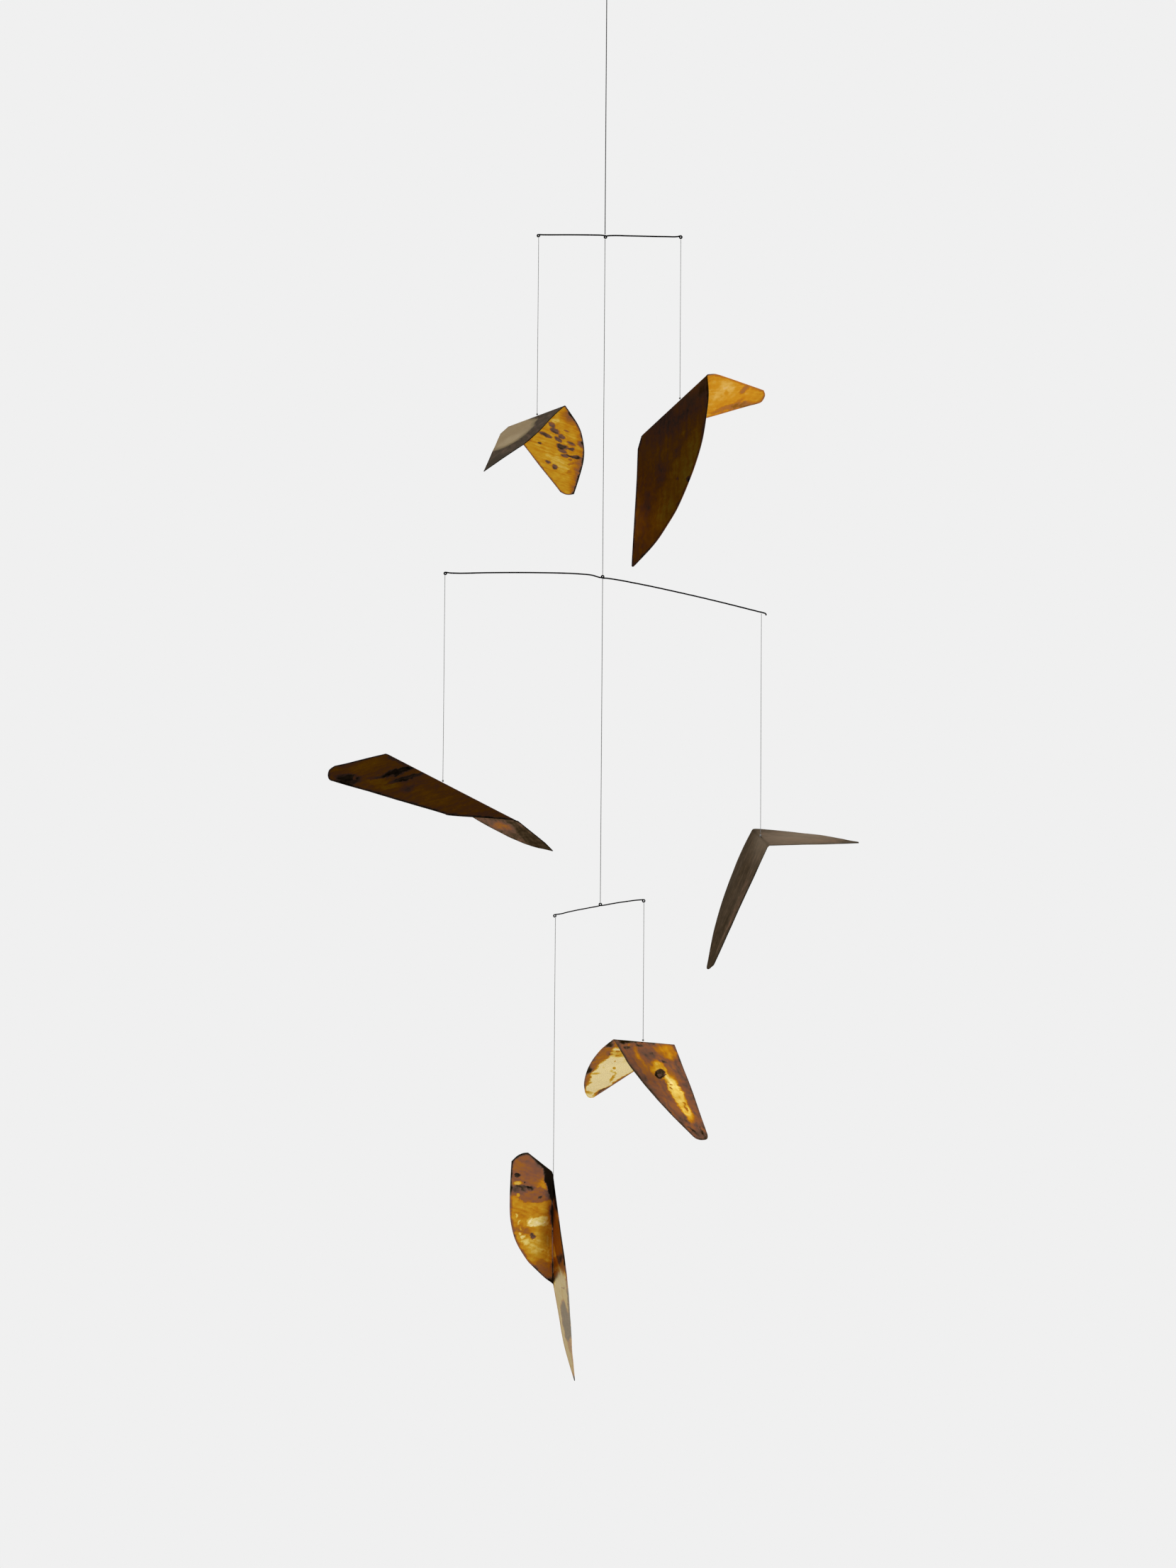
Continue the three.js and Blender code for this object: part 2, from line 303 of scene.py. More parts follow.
finish_piece(cup, "ceiling_cup", turned_steel, "ceiling", "ceiling_cap")
print("cup:", len(cup.data.polygons), "faces")

# %% [markdown]
# The arms are spring wire, bent cold and blackened. A maker curls a tight eye at each
# end for a leaf's thread, and throws one small loop in the middle where the plumb
# line takes hold. Each arm is one Bezier curve through those bends, with its handles
# left automatic so that the wire flows, and then turned into a mesh. Where the wire
# passes itself in a loop it steps aside by its own thickness.

# %% Blackened wire material
blackened_wire, tree, shader = new_material("blackened_spring_wire")
place = add(tree, "ShaderNodeTexCoord").outputs["Object"]
scale_marks = add(tree, "ShaderNodeTexNoise", {"Vector": place, "Scale": 900, "Detail": 4.0})
tone = add(tree, "ShaderNodeMix", {0: scale_marks.outputs["Fac"], 6: linear("#08080A"),
                                   7: linear("#1A181A")}, data_type="RGBA")
rough = add(tree, "ShaderNodeMapRange", {"Value": scale_marks.outputs["Fac"], "To Min": 0.4,
                                         "To Max": 0.65})
tree.links.new(tone.outputs[2], shader.inputs["Base Color"])
tree.links.new(rough.outputs["Result"], shader.inputs["Roughness"])
shader.inputs["Metallic"].default_value = 1.0
shader.inputs["Specular Tint"].default_value = linear("#3C3A3A")

# %% Bend the wire arms
EYE_RADIUS = 1.1


def loop(x, z, start, turn, sway):
    """Points round a small loop in the wire, stepping sideways from sway[0] to sway[1]."""
    steps = abs(turn) // 24
    points = []
    for k in range(steps + 1):
        angle = math.radians(start + turn * k / steps)
        aside = sway[0] + (sway[1] - sway[0]) * k / steps
        points.append((x + EYE_RADIUS * math.cos(angle), aside, z + EYE_RADIUS * math.sin(angle)))
    return points


ARMS = {
    "top": (-256.4, 1.4, [
        *loop(-64.7, -0.9, 408, -312, (-1.4, 0)), (-60, 0, 0.1), (-34, 0, 0.3), (-9, 0, 0.2),
        (-4, -0.4, 0), *loop(0.4, -1.7, 90, -360, (-0.7, 0.7)), (5, 0.4, -0.2), (24, 0, -0.4),
        (60, 0, -0.8), (70.5, 0, -0.7), *loop(73.6, -1.1, 96, -318, (0, 1.4))]),
    "middle": (-590.6, 1.4, [
        *loop(-151.8, 2.6, 400, -304, (-1.4, 0)), (-146, 0, 3.0), (-112, 0, 3.6), (-82, 0, 4),
        (-61, 0, 4), (-38, 0, 3.7), (-20, 0, 2.9), (-10, 0, 1.9), (-4.5, -0.4, 0.2),
        *loop(0, 0.5, -95, 350, (-0.7, 0.7)), (5, 0.4, -1.0), (31, 0, -5.4), (72, 0, -13.8),
        (114, 0, -23.3), (150, 0, -32.1), (155.4, 0, -33.4), (157.4, 0, -34.2), (158, 0, -35.8)]),
    "bottom": (-907.1, 1.2, [
        *loop(-43.6, -10.5, 424, -312, (-1.2, 0)), (-39, 0, -8.8), (-28, 0, -6.1), (-6, 0, -1.7),
        (-3, -0.4, -1.1), *loop(0, 0.8, -80, 340, (-0.6, 0.6)), (4, 0.3, 0.1), (10, 0, 1.3),
        (26, 0, 3.9), (37, 0, 5.3), *loop(41.6, 4.5, 100, -312, (0, 1.2))]),
}


def bend_wire(tier):
    pivot, thickness, stations = ARMS[tier]
    bpy.ops.object.select_all(action="DESELECT")
    bpy.ops.curve.primitive_bezier_curve_add()
    wire = bpy.context.object
    wire.data.dimensions = "3D"
    bends = wire.data.splines[0].bezier_points
    bends.add(len(stations) - 2)
    for bend, (x, y, z) in zip(bends, stations):
        bend.handle_left_type = bend.handle_right_type = "AUTO"
        bend.co = Vector((x, y, z + pivot)) * MM
    wire.data.resolution_u = 4
    wire.data.bevel_depth = thickness / 2 * MM
    wire.data.bevel_resolution = 3
    wire.data.use_fill_caps = True
    bpy.ops.object.convert(target="MESH")
    bpy.ops.object.mode_set(mode="EDIT")
    bpy.ops.mesh.select_all(action="SELECT")
    bpy.ops.mesh.remove_doubles(threshold=0.01 * MM)
    bpy.ops.mesh.normals_make_consistent(inside=False)
    bpy.ops.object.mode_set(mode="OBJECT")
    bpy.ops.object.shade_smooth_by_angle(angle=math.radians(50))
    finish_piece(wire, f"wire_arm_{tier}", blackened_wire, f"arm_{tier}", f"arm_{tier}")
    print(wire.name, "has", len(bends), "bends,", len(wire.data.polygons), "faces")


for tier in TIERS:
    bend_wire(tier)

# %% [markdown]
# Every leaf is cut from one flat sheet of brass, coloured with a torch, and folded
# once along a straight line, so each is made here the same way. Its outline is drawn
# flat: `u` runs along the fold and `v` away from it, in millimetres, with wing A on
# one side and wing B on the other. A run of two points is a straight snip, and a run
# of more is a fair curve through them.
#
# Heat colours depend on where the flame went on the flat sheet, so each leaf also lists its flame
# marks in the same two measures; a few of them are painted highlights, pale glints drawn in as
# less heat. A mark is an oval with a centre, two half-lengths, a turn in degrees, an edge from 0
# (sharp) to 1 (soft), and how much it adds to the heat there. Heat runs from 0, pale straw,
# through gold, amber, copper and mauve brown, to 1, black.

# %% Leaf top left: tan and smoke in front, gold with dark flecks behind
LEAF_TOP_LEFT = {
    "hang": (-64.5, -433.9), "heading": -51, "slope": 6, "fold": 88, "before": 44.5,
    "droop": (35.5, 152.7), "base": (0.86, 0.34), "rim": (0.10, 0.45),
    "streak": (42, 55), "painted_crease_shade": 0.15,
    "runs": (
        [[(0, 0), (3.5, 17)], [(3.5, 17), (96.5, 135)], [(96.5, 135), (111, 88.5)],
         [(111, 88.5), (106, 58.5), (97, 34), (90, 12.5), (88, 0)]],
        [[(0, 0), (-40, 104)], [(-40, 104), (-38, 109), (-34, 111.5), (-28, 112.5)],
         [(-28, 112.5), (1, 94.5), (31, 74.5), (53, 55.5), (72, 32.5), (88, 0)]],
    ),
    "marks": {
        "A": [
            ((38, 33), (54, 25), 44, 0.22, -0.45), ((58, 56), (26, 17), 30, 0.5, -0.25),
            ((98, 124), (40, 24), 60, 0.6, 0.18), ((66, 4), (26, 4), 0, 0.5, 0.12),
            ((64, 30), (9, 14), 20, 0.5, 0.06), ((52, 61), (9, 2), 30, 0.6, 0.10),
        ],
        "B": [
            ((18, 88), (66, 17), -32, 0.7, 0.26), ((80, 18), (22, 15), -60, 0.8, 0.30),
            ((-22, 108), (20, 8), -25, 0.8, 0.20), ((0, 66), (15, 26), 10, 0.9, -0.10),
            ((57, 14), (13, 5), -25, 0.5, -0.12), ((60, 46), (26, 9), -45, 0.8, 0.14),
            ((-9, 69), (6.5, 3.9), -10, 0.4, 0.50), ((-10, 61), (3.9, 3.2), 0, 0.5, 0.42),
            ((28, 67), (7.2, 5.2), 10, 0.4, 0.48), ((20, 62), (6.5, 3.9), 20, 0.4, 0.46),
            ((22, 54), (3.9, 6.5), -30, 0.5, 0.44), ((28, 48), (7.8, 6.5), 0, 0.4, 0.50),
            ((35, 54), (5.2, 3.9), 0, 0.5, 0.42), ((42, 47), (5.2, 5.9), 20, 0.5, 0.40),
            ((34, 37), (3.9, 6.5), 40, 0.4, 0.46), ((42, 35), (3.9, 3.9), 0, 0.4, 0.42),
            ((9, 34), (3.4, 2.6), 0, 0.4, 0.48), ((28, 25), (5.2, 9.1), -20, 0.4, 0.48),
            ((43, 26), (5.2, 6.5), 0, 0.4, 0.44), ((48, 18), (4.5, 6.5), 20, 0.5, 0.44),
            ((55, 30), (3.9, 2.6), 0, 0.6, 0.26), ((18, 68), (3.9, 2.6), 0, 0.6, 0.24),
            ((1, 82), (6.5, 2.6), -20, 0.6, 0.14), ((12, 73), (5.2, 2.1), 10, 0.6, 0.18),
            ((0, 22), (16, 6), -10, 0.7, 0.24), ((51, 52), (7.8, 5.2), -45, 0.6, 0.24),
        ],
    },
    "film": ("A", "#C8B88C", ((40, 36), (57, 29), 44, 0.14, 0.86)),
}

# %% Leaf top right: deep brown in front, bright amber behind
LEAF_TOP_RIGHT = {
    "hang": (73.6, -417.2), "heading": -18.6, "slope": 40.4, "fold": 86.5, "before": 50.5,
    "droop": (69.9, 161.9), "base": (0.55, 0.30), "rim": (0.30, 0.34),
    "streak": (-55, 60), "painted_crease_shade": 0.15,
    "runs": (
        [[(0, 0), (-11.5, 9.5)], [(-11.5, 9.5), (-84, 110)],
         [(-84, 110), (-83, 111.5), (-79, 111.5)],
         [(-79, 111.5), (-55.5, 109), (-38.5, 104.5), (-16.5, 96), (5.5, 83.5), (23.5, 71.5),
          (43.5, 55.5), (60.5, 37.5), (76, 19), (86.5, 0)]],
        [[(0, 0), (91, 86)], [(91, 86), (96, 91), (101, 93.5), (107.5, 89.5), (110.5, 82)],
         [(110.5, 82), (94, 14.5)], [(94, 14.5), (91.5, 7.5), (86.5, 0)]],
    ),
    "marks": {
        "A": [
            ((4, 78), (80, 26), -30, 0.45, -0.15), ((-25, 88), (26, 12), -20, 0.9, -0.06),
            ((14, 76), (22, 12), -30, 0.8, -0.08), ((-36, 68), (20, 10), -50, 0.8, 0.10),
            ((40, 10), (66, 24), 0, 0.8, 0.17), ((80, 5), (24, 9), -50, 0.8, 0.16),
            ((-8, 50), (20, 8), -50, 0.7, 0.12), ((10, 78), (3, 2.4), 40, 0.4, 0.34),
            ((2, 70), (2.5, 2.2), 0, 0.5, 0.22), ((33, 32), (4, 3), 0, 0.7, -0.10),
            ((16, 46), (14, 6), -30, 0.7, 0.08), ((45, 8), (12, 9), 0, 0.9, -0.08),
        ],
        "B": [
            ((90, 36), (10, 16), -10, 0.8, -0.17), ((78, 32), (7, 9), 20, 0.8, -0.12),
            ((75, 62), (28, 5), 44, 0.6, 0.36), ((90, 80), (18, 4.5), 48, 0.6, 0.36),
            ((84, 66), (11, 5), 20, 0.7, 0.28), ((97, 59), (7, 5), 0, 0.5, 0.38),
            ((103, 90), (7, 4), 20, 0.7, 0.14), ((86, 42), (3, 6), 10, 0.7, 0.12),
            ((72, 48), (5, 8), 0, 0.8, 0.06), ((95, 75), (8, 5), 0, 0.8, -0.04),
            ((30, 16), (34, 18), 35, 0.8, 0.20),
        ],
    },
    "film": ("B", "#F39A22", ((90, 45), (75, 85), 0, 0.8, 0.38)),
}

# %% Leaf middle left: long and brown, with amber and mauve streaks
LEAF_MIDDLE_LEFT = {
    "hang": (-152.2, -790.2), "heading": -46.2, "slope": -21, "fold": 203.5, "before": 89,
    "droop": (52.7, 136.9), "base": (0.56, 0.78), "rim": (0.36, 0.14),
    "streak": (-40, -32), "painted_crease_shade": 0.12,
    "runs": (
        [[(0, 0), (-46, 36.5)],
         [(-46, 36.5), (-48, 42.5), (-44.5, 48), (-38.5, 51.5), (-32.5, 51)],
         [(-32.5, 51), (121.5, 27.5)],
          [(121.5, 27.5), (127, 26.5), (153, 17), (191, 3.5), (203.5, 0)]],
        [[(0, 0), (38, 20), (75.5, 31.5), (112.5, 38), (158.5, 39.5), (183, 37.5), (211.5, 32.5),
          (242.5, 22.5)], [(242.5, 22.5), (235, 15)], [(235, 15), (203.5, 0)]],
    ),
    "marks": {
        "A": [
            ((-18, 42), (22, 9), -12, 0.5, 0.30), ((-12, 38), (4, 2.5), 30, 0.5, -0.22),
            ((27, 29), (27, 8), -14, 0.6, -0.17), ((-40, 40), (10, 5), 60, 0.8, -0.06),
            ((30, 12), (28, 5), -42, 0.5, 0.34), ((44, 14), (26, 4.4), -40, 0.5, 0.30),
            ((58, 22), (14, 5), -30, 0.7, 0.16), ((-10, 20), (28, 10), -40, 0.8, -0.12),
            ((96, 18), (50, 10), -8, 0.8, -0.07), ((22, 1.5), (34, 3), 0, 0.6, 0.20),
            ((165, 8), (30, 6), -15, 0.8, 0.06), ((8, 30), (10, 3), -35, 0.6, 0.16),
        ],
        "B": [
            # Painted highlight: the first mark on the next line, a paler bronze oval round u 166,
            # stands for a glint and is drawn in as less heat.
            ((166, 25), (26, 7), -22, 0.7, -0.21), ((150, 33), (18, 5), -10, 0.8, -0.10),
            ((222, 22), (44, 24), 0, 0.7, 0.17), ((190, 8), (26, 9), 0, 0.8, 0.08),
            ((60, 14), (70, 20), 15, 0.8, -0.12), ((196, 20), (6, 14), -20, 0.8, 0.06),
        ],
    },
    "film": None,
}

# %% Leaf middle right: smoke brown all over
LEAF_MIDDLE_RIGHT = {
    "hang": (153.4, -840.6), "heading": -82.2, "slope": -12.7, "fold": 89, "before": 43,
    "droop": (69.9, -170.1), "base": (0.92, 0.80), "rim": (0.08, 0.14),
    "streak": (85, 30), "painted_crease_shade": 0.06,
    "runs": (
        [[(0, 0), (-11, 33), (-8, 67), (10, 99.5), (43, 135.5)],
         [(43, 135.5), (47.5, 137), (54, 135.5), (64.5, 129)], [(64.5, 129), (85, 3)],
         [(85, 3), (89, 0)]],
        [[(0, 0), (4, 6.5), (51, 35), (89, 54.5), (140.5, 76)], [(140.5, 76), (144.5, 75.5)],
         [(144.5, 75.5), (89, 0)]],
    ),
    "marks": {
        "A": [
            ((60, 62), (12, 60), 6, 0.8, -0.10), ((64, 84), (7, 12), 0, 0.8, -0.10),
            ((66, 14), (12, 9), 0, 0.8, -0.09), ((48, 80), (5, 34), 5, 0.6, 0.06),
            ((0, 60), (14, 70), 0, 0.8, 0.05), ((52, 128), (14, 10), 0, 0.8, 0.05),
            ((25, 112), (18, 8), 50, 0.8, 0.03), ((58, 100), (3, 24), 6, 0.6, -0.09),
            ((71, 50), (3, 30), 6, 0.6, -0.08), ((34, 60), (4, 40), 4, 0.7, -0.04),
        ],
        "B": [
            ((86, 30), (46, 12), 32, 0.9, -0.08), ((110, 50), (24, 7), 36, 0.8, -0.06),
            ((134, 70), (20, 9), 40, 0.8, 0.14), ((20, 8), (24, 8), 25, 0.8, 0.08),
            ((62, 44), (60, 5), 30, 0.7, 0.12), ((70, 30), (40, 2), 32, 0.6, 0.14),
            ((96, 44), (44, 1.8), 34, 0.6, 0.14), ((52, 20), (30, 1.6), 30, 0.6, 0.12),
        ],
    },
    "film": ("B", "#B0A08C", ((75, 38), (95, 70), 30, 0.9, 0.78)),
}

# %% Leaf bottom left: amber wing with a smoke band, pale wing with a mauve patch
LEAF_BOTTOM_LEFT = {
    "hang": (-43, -1215.8), "heading": 89.7, "slope": -42.1, "fold": 169, "before": 84.5,
    "droop": (152.8, 62), "base": (0.36, 0.10), "rim": (0.34, 0.30),
    "streak": (-40, 12), "painted_crease_shade": 0.42,
    "runs": (
        [[(0, 0), (-40, 24.5)], [(-40, 24.5), (-42, 30), (-41, 36), (-36.5, 41.5)],
         [(-36.5, 41.5), (-3, 43.5), (18, 44.5), (42, 44.5), (59.5, 43), (76, 40.5), (93.5, 36),
          (116.5, 28), (129.5, 22), (155, 9), (169, 0)]],
        [[(0, 0), (37.5, 8)],
         [(37.5, 8), (100, 23.5), (137, 30), (185.5, 35), (226.5, 39.5), (273, 44)],
         [(273, 44), (243, 24), (211, 13)], [(211, 13), (169, 0)]],
    ),
    "marks": {
        "A": [
            ((-22, 26), (42, 30), 0, 0.35, 0.28), ((-28, 34), (12, 8), 0, 0.9, -0.08),
            ((-14, 12), (18, 12), -30, 0.9, 0.08), ((-3, 37), (4, 8), 22, 0.5, -0.36),
            ((20, 22), (33, 10), -50, 0.2, 0.25), ((20, 4), (30, 8), 0, 0.6, 0.10),
            ((14, 37), (4, 3), 0, 0.5, -0.34),
            ((-15, 36), (5.5, 2.4), -38, 0.35, 0.30), ((12, 23), (7, 2.6), -30, 0.35, 0.12),
            ((0, 29), (2, 1.6), 0, 0.4, 0.28), ((30, 13), (2.4, 2), 0, 0.4, 0.20),
            ((46, 34), (16, 10), 0, 0.9, 0.04), ((64, 17), (8, 11), 22, 0.28, -0.26),
            ((72, 9), (5, 5), 0, 0.5, -0.22), ((58, 24), (5, 4), 0, 0.5, -0.18),
            ((60, 3), (16, 5), 0, 0.7, 0.18), ((68, 32), (14, 6), -35, 0.6, 0.14),
            ((74, 26), (7, 4), -30, 0.6, 0.12), ((83, 21), (6, 3), -18, 0.3, 0.46),
            # Painted highlights: the five small pale marks at u 45 to 79 on the next three lines
            # are glints drawn in as less heat.
            ((57, 35), (3, 1.6), 20, 0.5, -0.22), ((64, 34), (3, 1.4), -20, 0.5, -0.24),
            ((71, 35), (4, 1.8), -30, 0.5, -0.26), ((79, 32), (5, 3), -40, 0.5, -0.28),
            ((45, 39), (5, 1.6), -15, 0.5, -0.22), ((88, 28), (7, 4), -30, 0.6, -0.14),
            ((100, 18), (30, 14), -10, 0.9, -0.12), ((146, 12), (26, 16), -20, 0.4, 0.22),
            ((164, 2), (14, 6), -20, 0.7, 0.28), ((112, 11), (2.4, 1.6), 0, 0.5, 0.16),
            ((108, 5), (58, 2.4), 0, 0.8, -0.10),
            ((80, 42), (40, 4), -10, 0.8, 0.18),
        ],
        "B": [
            ((12, 3), (44, 12), 10, 0.35, 0.86), ((88, 12), (50, 14), 13, 0.25, 0.46),
            ((122, 10), (30, 6), -30, 0.5, 0.30), ((150, 5), (24, 4), -20, 0.5, 0.35),
            ((196, 27), (30, 11), 8, 0.22, 0.74), ((110, 27), (40, 4), 14, 0.6, 0.30),
            ((152, 22), (11, 0.9), -40, 0.5, 0.55), ((271, 44), (9, 4), 20, 0.6, 0.75),
            ((160, 32), (40, 2), 6, 0.6, 0.55), ((225, 36), (14, 5), 8, 0.6, 0.35),
        ],
    },
    "film": ("B", "#BFB6A2", ((200, 28), (80, 26), 6, 0.2, 0.55)),
}

# %% Leaf bottom right: copper round a pale island, and a cream wing behind
LEAF_BOTTOM_RIGHT = {
    "hang": (41.8, -1037.5), "heading": 26.7, "slope": -4.2, "fold": 65.5, "before": 31.5,
    "droop": (36, 157.7), "base": (0.67, -0.04), "rim": (0.14, 0.22),
    "streak": (88, 80), "painted_crease_shade": 0.12,
    "runs": (
        [[(0, 0), (1, 23.5), (3, 48), (13.5, 101.5), (28.5, 147.5)],
         [(28.5, 147.5), (30.5, 150.5), (34.5, 152), (40, 151), (43, 148.5), (45, 143)],
         [(45, 143), (55, 80), (65.5, 0)]],
        [[(0, 0), (0, 26.5), (5, 57), (12.5, 84), (23, 110.5), (34.5, 131.5)],
         [(34.5, 131.5), (42.5, 142.5), (47.5, 146), (50.5, 144.5)], [(50.5, 144.5), (65.5, 0)]],
    ),
    "marks": {
        "A": [
            ((37, 88), (8.5, 44), 2, 0.4, -0.45), ((32, 44), (12, 20), 10, 0.5, -0.38),
            ((40, 64), (8, 26), 0, 0.8, -0.12), ((17, 42), (8, 26), 0, 0.9, -0.14),
            ((16, 22), (6, 16), 8, 0.8, -0.12), ((44, 60), (3.5, 34), 3, 0.8, -0.08),
            ((31, 52), (6.5, 9.5), 28, 0.25, 0.62), ((30, 55), (3.2, 4), 28, 0.5, -0.16),
            ((35, 75), (1.6, 1.6), 0, 0.4, 0.36), ((36, 69), (1.6, 1.6), 0, 0.4, 0.34),
            ((34, 66), (1.4, 1.4), 0, 0.4, 0.30), ((38, 105), (1.5, 5), -10, 0.5, 0.28),
            ((40, 98), (1.6, 4), 10, 0.5, 0.22), ((28, 122), (6, 10), 0, 0.8, 0.10),
            ((36, 143), (10, 11), 0, 0.7, 0.12), ((40, 138), (1, 10), 20, 0.5, 0.16),
            ((31, 137), (1, 8), -15, 0.5, 0.14), ((52, 13), (14, 17), 0, 0.4, -0.24),
            ((30, 20), (14, 10), 0, 0.8, 0.10), ((9, 13), (5, 4), 0, 0.6, 0.20),
            ((6, 5), (5, 3), 0, 0.6, 0.16), ((24, 8), (6, 4), 0, 0.7, 0.18),
            ((13, 8), (2, 5), 10, 0.6, -0.16), ((8, 60), (8, 50), -8, 0.8, 0.06),
            ((54, 45), (4, 50), 6, 0.7, 0.08), ((40, 30), (8, 3), 30, 0.6, 0.14),
        ],
        "B": [
            ((8, 46), (9, 46), -8, 0.4, 0.58), ((17, 96), (8, 36), -24, 0.4, 0.56),
            ((30, 124), (5, 16), -32, 0.7, 0.36), ((22, 83), (5, 3), -20, 0.6, 0.30),
            ((38, 76), (9, 3), 40, 0.7, 0.26), ((35, 67), (2.6, 4.4), -28, 0.4, 0.42),
            ((28, 52), (1.6, 1.6), 0, 0.4, 0.36), ((20, 33), (14, 12), 20, 0.6, 0.30),
            ((14, 36), (3, 2), 0, 0.5, 0.22), ((22, 38), (3, 2), 0, 0.5, 0.22),
            ((18, 27), (2.5, 3), 0, 0.5, 0.22), ((57, 104), (8, 48), 6, 0.4, 0.58),
            ((49, 128), (3.4, 16), 4, 0.6, 0.46), ((45, 92), (2.4, 16), -14, 0.6, 0.30),
            ((12, 8), (22, 15), 0, 0.5, 0.56), ((47, 24), (24, 34), 0, 0.6, 0.40),
            ((40, 132), (7, 5), 30, 0.7, 0.26), ((24, 70), (4, 2), 30, 0.6, 0.14),
        ],
    },
    "film": None,
}

LEAVES = {
    "top_left": LEAF_TOP_LEFT, "top_right": LEAF_TOP_RIGHT, "middle_left": LEAF_MIDDLE_LEFT,
    "middle_right": LEAF_MIDDLE_RIGHT, "bottom_left": LEAF_BOTTOM_LEFT,
    "bottom_right": LEAF_BOTTOM_RIGHT,
}

# %% [markdown]
# The finish is torched brass. A flame grows a thin oxide skin on polished brass, and
# the skin's thickness decides its colour: straw, gold, amber, copper, mauve brown and
# in the end a nearly black scale. The metal still shines through the thin colours, so
# they are smooth and mirror-like, while the dark scale is duller and rougher.
#
# One number, the heat, therefore drives everything. It starts from each wing's own level, takes in
# the flame marks and a few painted highlights, hotter rims, painted shade along the fold, streaks
# along the way the flame was drawn, and a mottle of a few millimetres, and then picks the colour
# from one ramp.
# All of it is laid out on the flat sheet in millimetres, which the piece carries in
# its attribute `blank_mm`, with wing A on the positive side.

# %% Torched brass material
HEAT_COLOURS = (
    (0.00, "#EDDCA6"), (0.14, "#DCC266"), (0.28, "#C99A2A"), (0.42, "#B97818"),
    (0.54, "#A06426"), (0.66, "#8A583F"), (0.76, "#6E5246"), (0.86, "#413529"),
    (0.94, "#28201B"), (1.00, "#15110F"),
)


def flame_or_highlight_mark(tree, place, mark, wing):
    """How much of an oval mark, flame colour or painted highlight, is felt at each place: its
    strength within, 0 outside.
    """
    (u, v), (half_length, half_width), turn, softness, strength = mark
    side = 1 if wing == "A" else -1
    oval = add(tree, "ShaderNodeMapping", {
        "Vector": place, "Location": (u, side * v, 0),
        "Rotation": (0, 0, math.radians(side * turn)), "Scale": (half_length, half_width, 1000),
    }, vector_type="TEXTURE")
    falloff = add(tree, "ShaderNodeTexGradient", {"Vector": oval.outputs[0]},
                  gradient_type="SPHERICAL")
    felt = add(tree, "ShaderNodeMapRange", {"Value": falloff.outputs["Fac"], "From Max": softness,
                                            "To Max": strength}, interpolation_type="SMOOTHSTEP")
    return felt.outputs["Result"]


def by_wing(tree, on_wing_a, amounts):
    """A number that is amounts[0] on wing A and amounts[1] on wing B."""
    return add(tree, "ShaderNodeMapRange", {"Value": on_wing_a, "To Min": amounts[1],
                                            "To Max": amounts[0]}).outputs["Result"]


def total(tree, *parts):
    """The sum of several numbers."""
    whole = parts[0]
    for part in parts[1:]:
        whole = add(tree, "ShaderNodeMath", {0: whole, 1: part}, operation="ADD").outputs[0]
    return whole


